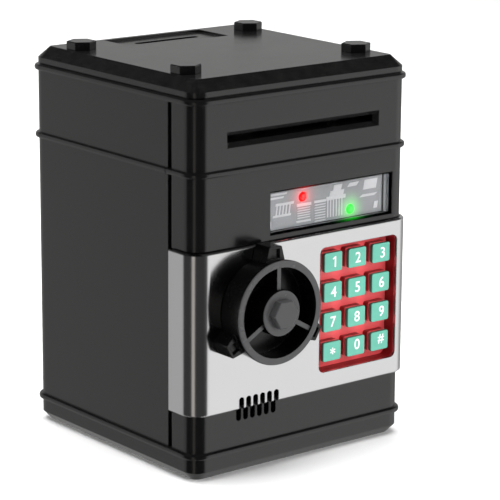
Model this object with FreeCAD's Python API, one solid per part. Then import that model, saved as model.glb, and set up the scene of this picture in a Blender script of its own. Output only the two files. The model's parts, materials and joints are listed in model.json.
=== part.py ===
"""Toy cash-machine savings bank: millimetres, +Z up, front face towards -Y.

The origin is the centre of the flat underside. Every node is one STEP file in parts/.
"""
import FreeCAD, Part
import math
import os

V = FreeCAD.Vector

# Cabinet
BODY_W = 125.3
BODY_D = 125.7
CORNER_R = 7.3
WALL = 2.4
BASE_H = 10.4
SHELL_TOP = 175.0
LIP_H = 3.1
LID_H = 5.0
LID_INSET = 5.7
FOOT_H = 4.0
FOOT_INSET_X = 16.65
FOOT_INSET_Y = 12.85
BEAD_OUT = 1.75
BEAD_H = 2.8
MID_BEAD_Z = 141.2
SEAM_DEPTH = 16.25
SEAM_W = 2.7
TONGUE_T = 2.0
FRAME_T = 2.0

# Door
DOOR_Z0 = 31.0
DOOR_H = 75.3
DOOR_OUT = 2.2
SHEET = 1.6
PAD_BACKING = 9.0
GAP = 0.3
OPENING_W = 90.0
OPENING_Z0 = 36.0
OPENING_H = 65.0
HINGE_R = 1.65
PIN_R = 0.75
RUN = 0.05

# Keypad
PAD_X0 = 8.5
PAD_W = 47.1
PAD_Z0 = 39.4
PAD_H = 59.8
PAD_DEPTH = 7.7
KEY_W = 10.8
KEY_H = 9.2
KEY_PITCH_X = 14.7
KEY_PITCH_Z = 14.3
KEY_X0 = 18.1
KEY_Z0 = 48.1
KEY_STAND = 5.9
KEY_CAP_T = 1.6
KEY_TRAVEL = 1.0
STEM_R = 1.8

# Dial and lock
DIAL_X = -26.3
DIAL_Z = 77.5
RING_R = 24.2
DRUM_R = 22.9
RING_T = 3.4
RING_OUT = 13.8
LOBE_R = 29.8
HUB_R = 10.6
HUB_OUT = 1.0
HEX_AF = 12.2
HEX_H = 3.6
SHAFT_R = 4.0
BUSH_R = 7.0
CAM_R = 11.0
CAM_T = 3.0
TONGUE_L = 27.0
PLUNGER_R = 2.0
PLUNGER_TRAVEL = 3.0

# Note feeder
SLOT_X0 = -42.3
SLOT_W = 84.7
SLOT_Z0 = 154.0
SLOT_H = 3.0
ROLLER_Y = -14.0
NOTE_Z = 155.55
DRIVE_R = 6.0
PINCH_R = 5.0
AXLE_R = 2.0
GEAR_MODULE = 1.25
GEAR_TEETH = 21
PINION_TEETH = 9
GEAR_W = 4.0
MOTOR_R = 10.0
DECK_Z = 122.0
DECK_T = 2.0

# Window, coin slot, bolts, cells
WIN_X0 = -19.5
WIN_W = 73.3
WIN_Z0 = 108.8
WIN_H = 20.2
VENT_X0 = -37.1
VENT_PITCH = 4.05
LED_R = 2.3
COIN_X = 2.3
COIN_Y = 43.8
COIN_L = 37.0
COIN_W = 3.9
PANEL_X0 = -26.9
PANEL_W = 57.0
PANEL_Y0 = 31.3
PANEL_L = 23.3
PANEL_DROP = 1.2
BOLT_X = 49.8
BOLT_Y_FRONT = -40.0
BOLT_Y_BACK = 40.6
BOLT_AF = 12.0
BOLT_H = 3.9
CELL_R = 7.1
CELL_L = 50.5

HALF_W = BODY_W / 2
HALF_D = BODY_D / 2
FOOT_X = HALF_W - FOOT_INSET_X
FOOT_Y = HALF_D - FOOT_INSET_Y
IN_W = HALF_W - WALL
IN_D = HALF_D - WALL
LIP_TOP = SHELL_TOP + LIP_H
LID_TOP = LIP_TOP + LID_H
SEAM_FRONT = SEAM_DEPTH - HALF_D
SEAM_BACK = SEAM_FRONT + SEAM_W
TONGUE_IN = IN_W - TONGUE_T
DOOR_Z1 = DOOR_Z0 + DOOR_H
DOOR_FACE = -HALF_D - DOOR_OUT
DOOR_DEPTH = PAD_DEPTH + PAD_BACKING
DOOR_SIDE = HALF_W + DOOR_OUT
DOOR_BACK = DOOR_FACE + DOOR_DEPTH
HINGE_X = DOOR_SIDE - HINGE_R
HINGE_Y = SEAM_FRONT - 0.1
FRAME_Y0 = SEAM_BACK + 0.1
FRAME_Y1 = FRAME_Y0 + FRAME_T
PAD_FLOOR = DOOR_FACE + PAD_DEPTH
DIAL_BACK = DOOR_FACE - GAP
RING_FRONT = DOOR_FACE - RING_OUT
CAM_Y0 = DOOR_BACK + 1.8
CAM_MID = CAM_Y0 + CAM_T / 2
LATCH_Y0 = FRAME_Y1 + 1.0
PLUNGER_X = DIAL_X + CAM_R + 0.5
DRIVE_Z = NOTE_Z + 0.15 + DRIVE_R
PINCH_Z = NOTE_Z - 0.15 - PINCH_R
GEAR_CENTRES = GEAR_MODULE * (GEAR_TEETH + PINION_TEETH) / 2
MOTOR_ANGLE = 20.0
MOTOR_Y = ROLLER_Y + GEAR_CENTRES * math.cos(math.radians(MOTOR_ANGLE))
MOTOR_Z = DRIVE_Z + GEAR_CENTRES * math.sin(math.radians(MOTOR_ANGLE))
CHEEK_X = SLOT_X0 + SLOT_W + 0.7
CHEEK_T = 2.0
LED_SPOTS = {"red_led": (1.7, 123.4), "green_led": (30.5, 113.7)}
KEY_NAMES = [["star", "0", "hash"], ["7", "8", "9"], ["4", "5", "6"], ["1", "2", "3"]]


def box(x0, x1, y0, y1, z0, z1):
    """Plain block between two corners."""
    return Part.makeBox(x1 - x0, y1 - y0, z1 - z0, V(x0, y0, z0))


def edges_along(shape, axis):
    """Straight edges of a shape that run along one axis."""
    found = []
    for edge in shape.Edges:
        a, b = edge.Vertexes[0].Point, edge.Vertexes[-1].Point
        if (b - a).Length > 1e-6 and abs(((b - a).normalize()).dot(axis)) > 0.999:
            found.append(edge)
    return found


def edges_at(shape, axis, level):
    """Edges that lie in the plane at a level along an axis."""
    found = []
    for edge in shape.Edges:
        box_ = edge.BoundBox
        low = V(box_.XMin, box_.YMin, box_.ZMin).dot(axis)
        high = V(box_.XMax, box_.YMax, box_.ZMax).dot(axis)
        if abs(low - level) < 1e-4 and abs(high - level) < 1e-4:
            found.append(edge)
    return found


X, Y, Z = V(1, 0, 0), V(0, 1, 0), V(0, 0, 1)


def soft(x0, x1, y0, y1, z0, z1, radius, axis):
    """Block with its edges along one axis rounded."""
    block = box(x0, x1, y0, y1, z0, z1)
    return block.makeFillet(radius, edges_along(block, axis))


def rod(x, y, z, radius, length, axis):
    """Cylinder from a point along an axis."""
    return Part.makeCylinder(radius, length, V(x, y, z), axis)


def join(first, *others):
    """One body from several that touch or overlap."""
    return first.fuse(list(others)).removeSplitter()


def stadium(x, y0, y1, z0, z1, width):
    """Upright slot with rounded ends, cut along Y."""
    r = width / 2
    mid = box(x - r, x + r, y0, y1, z0 + r, z1 - r)
    ends = [rod(x, y0, z, r, y1 - y0, Y) for z in (z0 + r, z1 - r)]
    return join(mid, *ends)


def plan(grow, z0, z1):
    """Cabinet plan, grown outwards (or inwards when negative)."""
    w, d = HALF_W + grow, HALF_D + grow
    return soft(-w, w, -d, d, z0, z1, max(CORNER_R + grow, 0.8), Z)


def taper(z0, grow0, z1, grow1):
    """Cabinet plan that changes size between two heights."""
    wires = []
    for z, grow in ((z0, grow0), (z1, grow1)):
        slab = plan(grow, z, z + 1.0)
        face = min(slab.Faces, key=lambda f: f.CenterOfMass.z)
        wires.append(face.OuterWire)
    return Part.makeLoft(wires, True, True)


def bead(z0, z1):
    """Rounded band round the cabinet."""
    band = plan(BEAD_OUT, z0, z1)
    rims = edges_at(band, Z, z0) + edges_at(band, Z, z1)
    return band.makeFillet(min(1.2, (z1 - z0) * 0.42), rims).cut(plan(-WALL, z0 - 1, z1 + 1))


def half(shape, y0, y1):
    """Part of a shape between two Y planes."""
    return shape.common(box(-100, 100, y0, y1, -10, 250))


def hexagon(across, height, x, y, z, axis, turn):
    """Hexagonal block; turn is the angle of the first corner in its own plane."""
    r = across / math.sqrt(3)
    points = []
    for k in range(7):
        a = math.radians(turn + 60 * k)
        u, v = r * math.cos(a), r * math.sin(a)
        points.append(V(x + u, y + v, z) if axis.z else V(x + u, y, z + v))
    return Part.Face(Part.makePolygon(points)).extrude(axis * height)


def involute(t):
    return math.tan(t) - t


def gear(teeth, width, x, y, z, first):
    """Spur gear turning about X; first is the angle of one tooth from +Y towards +Z."""
    pitch = GEAR_MODULE * teeth / 2
    base = pitch * math.cos(math.radians(20))
    tip = pitch + 0.8 * GEAR_MODULE
    root = pitch - 1.2 * GEAR_MODULE
    thin = 0.45 / (2 * pitch)
    centre = math.pi / (2 * teeth) - thin + involute(math.radians(20))
    flank = []
    for k in range(6):
        r = max(base, root) + (tip - max(base, root)) * k / 5
        flank.append((r, centre - involute(math.acos(min(1.0, base / r)))))
    if root < base:
        flank.insert(0, (root, flank[0][1]))
    points = []
    for tooth in range(teeth):
        mid = math.radians(first) + 2 * math.pi * tooth / teeth
        side = [(r, mid - a) for r, a in flank] + [(r, mid + a) for r, a in reversed(flank)]
        points += [V(x, y + r * math.cos(a), z + r * math.sin(a)) for r, a in side]
    points.append(points[0])
    return Part.Face(Part.makePolygon(points)).extrude(X * width)


def wall_ring(z0, z1):
    """Cabinet wall all the way round."""
    return plan(0, z0, z1).cut(plan(-WALL, z0 - 1, z1 + 1))


def post(x, y, z0, z1, radius, rib_y=0.0):
    """Screw post tied to the nearer side wall by a rib, which may stand off the centre."""
    side = math.copysign(1, x)
    near, far = sorted((x, side * (IN_W + 0.1)))
    rib = box(near, far, y + rib_y - 1.2, y + rib_y + 1.2, z0, z1)
    return join(rod(x, y, z0, radius, z1 - z0, Z), rib)


FEET = [(-FOOT_X, -FOOT_Y), (FOOT_X, -FOOT_Y), (-FOOT_X, FOOT_Y), (FOOT_X, FOOT_Y)]
WELL_X = CELL_L / 2 + 0.75
WELL_Y0 = 7.0
WELL_Y1 = WELL_Y0 + 6 * CELL_R + 2.4
WELL_Z = 4.1
WELL_TOP = WELL_Z + 2 * CELL_R + 1.0
COVER_T = 1.8


def base_tray():
    """Foot of the cabinet with the battery well and its cover's runners."""
    outside = join(taper(0, -3.8, FOOT_H, 0), plan(0, FOOT_H, BASE_H))
    tray = outside.cut(plan(-WALL - 2.0, WALL, BASE_H + 1))
    rim = box(-WELL_X - 5, WELL_X + 5, WELL_Y0 - 5, HALF_D - WALL, 0.6, WELL_Z + 1.0)
    well = box(-WELL_X - 1.6, WELL_X + 1.6, WELL_Y0 - 1.6, WELL_Y1 + 1.6, WELL_Z, WELL_TOP + 1.6)
    tray = join(tray, rim, well)
    for x, y in FEET:
        tray = join(tray, rod(x, y, 1.0, 5.0, BASE_H - 1.0, Z))
        tray = tray.cut(rod(x, y, -1, 3.4, 4.0, Z)).cut(rod(x, y, 0, 1.5, 20, Z))
    tray = tray.cut(box(-WELL_X, WELL_X, WELL_Y0, WELL_Y1, -1, WELL_TOP))
    runner = box(-WELL_X - 3, WELL_X + 3, WELL_Y0 - 3, HALF_D + 5, COVER_T + 0.6, WELL_Z)
    mouth = box(-WELL_X - 1, WELL_X + 1, WELL_Y0 - 3, HALF_D + 5, -1, COVER_T + 0.7)
    return tray.cut(runner).cut(mouth)


def battery_cover():
    """Plate that slides out of the back of the base."""
    plate = box(-WELL_X - 1 + GAP, WELL_X + 1 - GAP, WELL_Y0 - 3 + GAP, HALF_D, 0.5, 3.0)
    wing = box(-WELL_X - 3 + GAP, WELL_X + 3 - GAP, WELL_Y0 - 3 + GAP, HALF_D, COVER_T + 0.9, WELL_Z - GAP)
    cover = join(plate, wing).common(join(taper(0, -3.8, FOOT_H, 0), plan(0, FOOT_H, BASE_H)))
    for k in range(5):
        y = HALF_D - 14 + 1.8 * k
        cover = cover.cut(box(-9, 9, y, y + 0.8, 0, 0.9))
    return cover


def battery_cells():
    """Three cylindrical cells lying side by side."""
    cells = []
    for k in range(3):
        y = WELL_Y0 + 0.6 + CELL_R + k * (2 * CELL_R + 0.6)
        z = WELL_Z + 0.4 + CELL_R
        can = rod(-CELL_L / 2, y, z, CELL_R, CELL_L - 1.4, X)
        can = can.makeFillet(0.7, edges_at(can, X, -CELL_L / 2) + edges_at(can, X, CELL_L / 2 - 1.4))
        cells.append(join(can, rod(CELL_L / 2 - 1.5, y, z, 2.7, 1.5, X)))
    return Part.makeCompound(cells)


def battery_contacts():
    """Sprung metal plates at both ends of the cells."""
    plates = []
    for k in range(3):
        y = WELL_Y0 + 0.6 + CELL_R + k * (2 * CELL_R + 0.6)
        z = WELL_Z + 0.4 + CELL_R
        for side in (-1, 1):
            x0, x1 = sorted((side * WELL_X, side * (WELL_X - 0.4)))
            plate = box(x0, x1, y - 5, y + 5, z - 5, z + 5)
            nub = rod(side * CELL_L / 2, y, z, 2.4, WELL_X - CELL_L / 2 - 0.4, X * side)
            plates.append(join(plate, nub))
    return Part.makeCompound(plates)


def housing_screws():
    """Screws up through the base into the shells."""
    screws = []
    for x, y in FEET:
        head = rod(x, y, 1.0, 3.2, 2.0, Z)
        head = head.cut(box(x - 2.2, x + 2.2, y - 0.4, y + 0.4, 0.9, 1.8))
        head = head.cut(box(x - 0.4, x + 0.4, y - 2.2, y + 2.2, 0.9, 1.8))
        screws.append(join(head, rod(x, y, 3.0, 1.5, 14.0, Z)))
    return Part.makeCompound(screws)


def rear_shell():
    """Back and sides of the cabinet, with posts for the lid bolts and base screws."""
    shell = wall_ring(BASE_H, SHELL_TOP)
    bands = [(BASE_H, BASE_H + BEAD_H), (MID_BEAD_Z - BEAD_H / 2, MID_BEAD_Z + BEAD_H / 2),
             (SHELL_TOP - BEAD_H, SHELL_TOP)]
    for low, high in bands:
        shell = join(shell, bead(low, high))
    shell = half(shell, SEAM_BACK, HALF_D + 10)
    for side in (-1, 1):
        for y in (BOLT_Y_FRONT, BOLT_Y_BACK):
            shell = join(shell, post(side * BOLT_X, y, 150.0, 172.0, 4.5, 2.6))
            shell = shell.cut(rod(side * BOLT_X, y, 160, 2.5, 20, Z))
        shell = join(shell, post(side * FOOT_X, FOOT_Y, BASE_H, 24.0, 4.0))
        shell = shell.cut(rod(side * FOOT_X, FOOT_Y, 0, 1.5, 17.0, Z))
    for row in range(-3, 4):
        for col in range(-3, 4):
            if row * row + col * col <= 10:
                hole = rod(4.2 * col, HALF_D - 5, 150 + 4.2 * row, 1.1, 10, Y)
                shell = shell.cut(hole)
    return shell


def front_band(z0, z1):
    """Front wall and rounded corners between two heights."""
    return half(wall_ring(z0, z1), -HALF_D - 1, SEAM_FRONT)


def shell_slots(shell):
    """Note slot with its bevelled surround, window and vents."""
    x0, x1 = SLOT_X0, SLOT_X0 + SLOT_W
    z0, z1 = SLOT_Z0, SLOT_Z0 + SLOT_H
    rim, slot = [], []
    for grow, y in ((2.2, -HALF_D - 0.01), (0.0, -HALF_D + 1.9)):
        corners = [(x0 - grow, z0 - grow), (x1 + grow, z0 - grow), (x1 + grow, z1 + grow),
                   (x0 - grow, z1 + grow), (x0 - grow, z0 - grow)]
        rim.append(Part.makePolygon([V(x, y, z) for x, z in corners]))
    slot = box(x0, x1, -HALF_D - 1, -HALF_D + 6, z0, z1)
    shell = shell.cut(Part.makeLoft(rim, True, True)).cut(slot)
    shell = shell.cut(box(WIN_X0, WIN_X0 + WIN_W, -HALF_D - 1, -HALF_D + WALL + 1, WIN_Z0, WIN_Z0 + WIN_H))
    for k in range(6):
        shell = shell.cut(stadium(VENT_X0 + VENT_PITCH * k, -HALF_D - 1, -HALF_D + WALL + 1, 25.0, 36.7, 2.7))
    return shell


def front_shell():
    """Front of the cabinet above and below the door, joined by strips behind the seams."""
    low, high = DOOR_Z0 - GAP, DOOR_Z1 + GAP
    shell = join(front_band(BASE_H, low), half(bead(BASE_H, BASE_H + BEAD_H), -99, SEAM_BACK))
    upper = join(front_band(high, SHELL_TOP), half(bead(SHELL_TOP - BEAD_H, SHELL_TOP), -99, SEAM_BACK))
    middle = half(bead(MID_BEAD_Z - BEAD_H / 2, MID_BEAD_Z + BEAD_H / 2), -99, SEAM_BACK - 0.5)
    parts = [upper, middle]
    for side in (-1, 1):
        a, b = sorted((side * TONGUE_IN, side * IN_W))
        parts.append(box(a, b, SEAM_FRONT - 1.2, SEAM_BACK + 3.6, BASE_H, SHELL_TOP - 0.4))
        for z0, z1 in ((BASE_H, low), (high, SHELL_TOP)):
            parts.append(box(a, b, SEAM_FRONT - 3.7, SEAM_FRONT - 1.1, z0, min(z1, SHELL_TOP - 0.4)))
        for z0, z1 in ((low - 1.6, low), (high, high + 1.6)):
            parts.append(half(plan(-WALL + 0.05, z0, z1), -99, FRAME_Y0).common(
                box(-TONGUE_IN - 0.1, TONGUE_IN + 0.1, -99, 0, 0, 200)))
    for z0, length in ((low - 5.4, 5.4), (high, 5.4)):
        parts.append(rod(HINGE_X, HINGE_Y, z0, HINGE_R, length, Z))
    for side in (-1, 1):
        parts.append(post(side * FOOT_X, -FOOT_Y, BASE_H, 24.0, 4.0))
    shell = shell_slots(join(shell, *parts))
    for side in (-1, 1):
        shell = shell.cut(rod(side * FOOT_X, -FOOT_Y, 0, 1.5, 17.0, Z))
    return shell.cut(rod(HINGE_X, HINGE_Y, low - 5.0, PIN_R, DOOR_H + 10.6, Z))


def hinge_pins():
    """Two short pins at the ends of the door's barrel."""
    low = rod(HINGE_X, HINGE_Y, DOOR_Z0 - 5.0, PIN_R, 8.0, Z)
    high = rod(HINGE_X, HINGE_Y, DOOR_Z1 - 3.0, PIN_R, 8.0, Z)
    return Part.makeCompound([low, high])


def door_frame():
    """Inner wall whose opening leads to the cash compartment."""
    wall = box(-TONGUE_IN, TONGUE_IN, FRAME_Y0, FRAME_Y1, BASE_H, 150.0)
    half_w = OPENING_W / 2
    hole = soft(-half_w, half_w, FRAME_Y0 - 1, FRAME_Y1 + 1, OPENING_Z0, OPENING_Z0 + OPENING_H, 3, Y)
    return wall.cut(hole)


def deck():
    """Floor of the mechanism space, open where notes and coins drop through."""
    floor = plan(-WALL, DECK_Z, DECK_Z + DECK_T)
    floor = half(floor, FRAME_Y1, HALF_D)
    for side in (-1, 1):
        near, far = sorted((side * TONGUE_IN, side * HALF_W))
        floor = floor.cut(box(near, far, -99, SEAM_BACK + 3.6, 0, 200))
    floor = floor.cut(box(-44, 44, -4, 30, 0, 200))
    return floor.cut(box(COIN_X - 21, COIN_X + 21, COIN_Y - 5, COIN_Y + 7, 0, 200))


def lid():
    """Top cap with the sunk coin panel and the coin chute."""
    skirt = join(plan(-0.8, SHELL_TOP, SHELL_TOP + 0.6), plan(0, SHELL_TOP + 0.6, LIP_TOP))
    top = join(skirt, taper(LIP_TOP, 0, LID_TOP, -LID_INSET))
    hollow = plan(-5.2, SHELL_TOP - 1, LID_TOP - 3.4)
    cap = top.cut(hollow)
    r = COIN_W / 2 + 1.2
    chute = box(COIN_X - COIN_L / 2 - 1.2, COIN_X + COIN_L / 2 + 1.2, COIN_Y - r, COIN_Y + r, 145.0, LID_TOP - 3)
    bosses = []
    for side in (-1, 1):
        for y in (BOLT_Y_FRONT, BOLT_Y_BACK):
            bosses.append(rod(side * BOLT_X, y, 172.0, 4.5, LID_TOP - 3.0 - 172.0, Z))
    cap = join(cap, chute, *bosses)
    cap = cap.cut(box(PANEL_X0, PANEL_X0 + PANEL_W, PANEL_Y0, PANEL_Y0 + PANEL_L, LID_TOP - PANEL_DROP, LID_TOP + 1))
    slot = soft(COIN_X - COIN_L / 2, COIN_X + COIN_L / 2, COIN_Y - COIN_W / 2, COIN_Y + COIN_W / 2,
                144.0, LID_TOP + 1, COIN_W / 2 - 0.01, Z)
    cap = cap.cut(slot)
    for side in (-1, 1):
        for y in (BOLT_Y_FRONT, BOLT_Y_BACK):
            cap = cap.cut(rod(side * BOLT_X, y, 170, 2.5, 20, Z))
    return cap


def lid_bolts():
    """Four hexagon-headed bolts."""
    bolts = []
    for side in (-1, 1):
        for y in (BOLT_Y_FRONT, BOLT_Y_BACK):
            x = side * BOLT_X
            head = hexagon(BOLT_AF, BOLT_H, x, y, LID_TOP, Z, 30)
            head = head.makeChamfer(0.4, edges_at(head, Z, LID_TOP + BOLT_H))
            bolts.append(join(head, rod(x, y, 161.0, 2.5, LID_TOP - 161.0, Z)))
    return Part.makeCompound(bolts)


def front_plug(y0, y1):
    """Block the size of the window opening, trimmed to the cabinet's rounded front."""
    block = box(WIN_X0, WIN_X0 + WIN_W, y0, y1, WIN_Z0, WIN_Z0 + WIN_H)
    return block.common(plan(-0.4, WIN_Z0 - 1, WIN_Z0 + WIN_H + 1))


def window_lens():
    """Clear panel that closes the window."""
    return front_plug(-HALF_D, -HALF_D + 1.4)


def window_card():
    """Backing card behind the window, pierced for the two lamps."""
    card = front_plug(-HALF_D + 3.0, -HALF_D + 3.8)
    card = join(card, front_plug(-HALF_D + 1.4, -HALF_D + 3.0).cut(
        box(WIN_X0 + 1.0, WIN_X0 + WIN_W - 1.0, -70, 0, WIN_Z0 + 1.0, WIN_Z0 + WIN_H - 1.0)))
    for x, z in LED_SPOTS.values():
        card = card.cut(rod(x, -HALF_D, z, LED_R, 9, Y))
    return card


def led(name):
    """Small lamp with a domed tip, in the card."""
    x, z = LED_SPOTS[name]
    tip = -HALF_D + 3.9
    body = rod(x, tip, z, LED_R, 4.5, Y)
    flange = rod(x, -HALF_D + 3.8, z, LED_R + 0.5, 1.2, Y)
    dome = Part.makeSphere(LED_R, V(x, tip, z)).common(box(x - 5, x + 5, tip - 1.9, tip, z - 5, z + 5))
    legs = [rod(x + s, tip + 4.4, z, 0.3, 4.0, Y) for s in (-1, 1)]
    return join(body, flange, dome, *legs)


def note_guide():
    """Channel for the note, with cheeks that carry the rollers and the motor."""
    plate = box(-CHEEK_X, CHEEK_X, -IN_D, MOTOR_Y - MOTOR_R - 0.6, 152.0, 153.6)
    for side in (-1, 1):
        plate = plate.cut(rod(side * BOLT_X, BOLT_Y_FRONT, 150.0, 4.5 + GAP, 6, Z))
    for x0, x1 in ROLLERS:
        plate = plate.cut(box(x0 - 1, x1 + 1, ROLLER_Y - 6, ROLLER_Y + 6, 150, 160))
    left = box(-CHEEK_X - CHEEK_T, -CHEEK_X, -26, -4, DECK_Z + DECK_T, 170)
    right = box(CHEEK_X, CHEEK_X + CHEEK_T, -26, 12, DECK_Z + DECK_T, 178)
    right = right.cut(box(40, 60, -3, 30, DECK_Z, 150))
    guide = join(plate, left, right)
    for z in (DRIVE_Z, PINCH_Z):
        guide = guide.cut(rod(-60, ROLLER_Y, z, AXLE_R + RUN, 120, X))
    return guide.cut(rod(40, MOTOR_Y, MOTOR_Z, 3.5, 10, X))


ROLLERS = [(-32.0, -12.0), (12.0, 32.0)]


def axle(z, x0, x1):
    """Straight roller shaft."""
    return rod(x0, ROLLER_Y, z, AXLE_R, x1 - x0, X)


def rollers(z, radius):
    """Two rollers on one shaft."""
    rings = []
    for x0, x1 in ROLLERS:
        drum = rod(x0, ROLLER_Y, z, radius, x1 - x0, X)
        drum = drum.makeFillet(0.5, edges_at(drum, X, x0) + edges_at(drum, X, x1))
        rings.append(drum.cut(rod(x0 - 1, ROLLER_Y, z, AXLE_R, 30, X)))
    return Part.makeCompound(rings)


GEAR_X = CHEEK_X + CHEEK_T + 1.0


def roller_gear():
    """Gear on the end of the drive shaft."""
    wheel = gear(GEAR_TEETH, GEAR_W, GEAR_X, ROLLER_Y, DRIVE_Z, MOTOR_ANGLE)
    return wheel.cut(rod(GEAR_X - 1, ROLLER_Y, DRIVE_Z, AXLE_R, 10, X))


def motor_pinion():
    """Motor shaft and pinion."""
    first = MOTOR_ANGLE + 180.0 + 180.0 / PINION_TEETH
    wheel = gear(PINION_TEETH, GEAR_W, GEAR_X, MOTOR_Y, MOTOR_Z, first)
    return join(wheel, rod(CHEEK_X - 6, MOTOR_Y, MOTOR_Z, 1.0, 14, X))


def feed_motor():
    """Small can motor on the right cheek."""
    can = rod(CHEEK_X - 26, MOTOR_Y, MOTOR_Z, MOTOR_R, 26, X)
    can = can.common(box(-99, 99, MOTOR_Y - 20, MOTOR_Y + 20, MOTOR_Z - 7.6, MOTOR_Z + 7.6))
    nose = rod(CHEEK_X, MOTOR_Y, MOTOR_Z, 3.5, 1.6, X)
    return join(can, nose).cut(rod(CHEEK_X - 8, MOTOR_Y, MOTOR_Z, 1.0 + RUN, 20, X))


def main_board():
    """Control board standing on the deck at the left."""
    board = box(-56.0, -54.4, -22, 38, DECK_Z + DECK_T, 166)
    parts = [box(-54.4, -52.0, 0, 14, 140, 150), box(-54.4, -50.8, -18, -10, 134, 142),
             rod(-54.4, 24, 136, 3.0, 5.0, X), rod(-54.4, 24, 148, 2.2, 4.0, X),
             box(-54.4, -51.0, 8, 24, 155, 161)]
    return join(board, *parts)


def speaker():
    """Round loudspeaker behind the grille in the back."""
    rim = rod(0, IN_D - 2.0, 150, 17.5, 2.0, Y)
    cup = Part.makeCone(9.5, 16.0, 3.0, V(0, IN_D - 5.0, 150), Y)
    return join(rim, cup).cut(rod(0, IN_D - 0.8, 150, 15.5, 2.0, Y))


def door_core(grow, y1):
    """Door outline in plan, shrunk by a thickness, up to a rear plane."""
    side = DOOR_SIDE - grow
    block = soft(-side, side, DOOR_FACE + grow, HALF_D, DOOR_Z0, DOOR_Z1, CORNER_R + DOOR_OUT - grow, Z)
    return block.common(box(-99, 99, -99, y1, 0, 200))


def pad_window(y0, y1, grow):
    """Rounded rectangular space of the keypad."""
    return soft(PAD_X0 - grow, PAD_X0 + PAD_W + grow, y0, y1, PAD_Z0 - grow, PAD_Z0 + PAD_H + grow, 3.0 + grow, Y)


def door_skin():
    """Bent front panel with its hinge barrel."""
    side = DOOR_SIDE
    outer = soft(-side, side, DOOR_FACE, HALF_D, DOOR_Z0, DOOR_Z1, CORNER_R + DOOR_OUT, Z)
    outer = outer.makeChamfer(0.7, edges_at(outer, Z, DOOR_Z0) + edges_at(outer, Z, DOOR_Z1))
    skin = outer.common(box(-99, 99, -99, SEAM_FRONT - 0.3, 0, 200)).cut(door_core(SHEET, 50))
    skin = join(skin, rod(HINGE_X, HINGE_Y, DOOR_Z0, HINGE_R, DOOR_H, Z))
    skin = skin.cut(rod(HINGE_X, HINGE_Y, DOOR_Z0 - 1, PIN_R + RUN, DOOR_H + 2, Z))
    skin = skin.cut(pad_window(DOOR_FACE - 1, DOOR_FACE + 6, 0))
    skin = skin.cut(rod(DIAL_X, DOOR_FACE - 1, DIAL_Z, BUSH_R, 9, Y))
    for k in range(6):
        skin = skin.cut(stadium(VENT_X0 + VENT_PITCH * k, DOOR_FACE - 1, DOOR_FACE + SHEET + 1, 25.0, 36.7, 2.7))
    return skin


def door_liner():
    """Plastic back of the door."""
    core = door_core(SHEET, DOOR_BACK)
    back = core.common(box(-99, 99, DOOR_BACK - 1.6, DOOR_BACK, 0, 200))
    low = core.common(box(-99, 99, -99, 0, DOOR_Z0, DOOR_Z0 + 1.6))
    high = core.common(box(-99, 99, -99, 0, DOOR_Z1 - 1.6, DOOR_Z1))
    side = HALF_W - 1.0
    flanks = [(-side - 10, -side), (side, side + 10)]
    sides = [core.common(box(x0, x1, SEAM_FRONT - 8.7, 0, 0, 200)) for x0, x1 in flanks]
    hub = rod(DIAL_X, DOOR_FACE + SHEET, DIAL_Z, BUSH_R + 1.6, DOOR_DEPTH - SHEET, Y)
    liner = join(back, low, high, hub, *sides)
    liner = liner.cut(rod(DIAL_X, DOOR_FACE, DIAL_Z, BUSH_R, 30, Y))
    for x, z in DOOR_SCREWS:
        liner = liner.cut(rod(x, DOOR_BACK - 3, z, 1.2, 9, Y))
    return liner


DOOR_SCREWS = [(-50.0, 38.0), (50.0, 38.0), (-50.0, 99.0), (50.0, 99.0)]


def door_screws():
    """Pan-headed screws in the door's back."""
    screws = []
    for x, z in DOOR_SCREWS:
        head = rod(x, DOOR_BACK, z, 2.6, 1.1, Y)
        head = head.cut(box(x - 1.7, x + 1.7, DOOR_BACK + 0.5, DOOR_BACK + 3, z - 0.35, z + 0.35))
        head = head.cut(box(x - 0.35, x + 0.35, DOOR_BACK + 0.5, DOOR_BACK + 3, z - 1.7, z + 1.7))
        screws.append(join(head, rod(x, DOOR_BACK - 1.8, z, 1.2, 1.8, Y)))
    return Part.makeCompound(screws)


def key_spots():
    """Name and centre of each key."""
    spots = []
    for row, names in enumerate(KEY_NAMES):
        for col, name in enumerate(names):
            spots.append((name, KEY_X0 + KEY_PITCH_X * col, KEY_Z0 + KEY_PITCH_Z * row))
    return spots


STEM_BACK = PAD_FLOOR + 1.6 + GAP + 0.9
MEMBRANE_Y = STEM_BACK + KEY_TRAVEL + GAP


def keypad_tray():
    """Sunk tray with one boss under each key."""
    front = DOOR_FACE + SHEET
    tray = pad_window(front, PAD_FLOOR + 1.6, 1.3).cut(pad_window(front - 1, PAD_FLOOR, 0))
    skirt = pad_window(PAD_FLOOR + 1.5, MEMBRANE_Y, 1.3).cut(pad_window(PAD_FLOOR, MEMBRANE_Y + 1, 0))
    tray = join(tray, skirt).common(door_core(SHEET, 0))
    boss_front = PAD_FLOOR - KEY_STAND + KEY_CAP_T + KEY_TRAVEL + 0.2
    for name, x, z in key_spots():
        boss = soft(x - KEY_W / 2, x + KEY_W / 2, boss_front, PAD_FLOOR + 0.1, z - KEY_H / 2, z + KEY_H / 2, 1.0, Y)
        tray = join(tray, boss).cut(rod(x, boss_front - 1, z, STEM_R + GAP, 9, Y))
    return tray


def key(x, z):
    """Key cap on a stem, kept in by a flange behind the tray."""
    front = PAD_FLOOR - KEY_STAND
    cap = soft(x - KEY_W / 2, x + KEY_W / 2, front, front + KEY_CAP_T, z - KEY_H / 2, z + KEY_H / 2, 1.0, Y)
    cap = cap.makeFillet(0.4, edges_at(cap, Y, front))
    stem = rod(x, front + 1, z, STEM_R, STEM_BACK - front - 1, Y)
    return join(cap, stem, rod(x, STEM_BACK - 0.9, z, STEM_R + 1.0, 0.9, Y))


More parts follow.
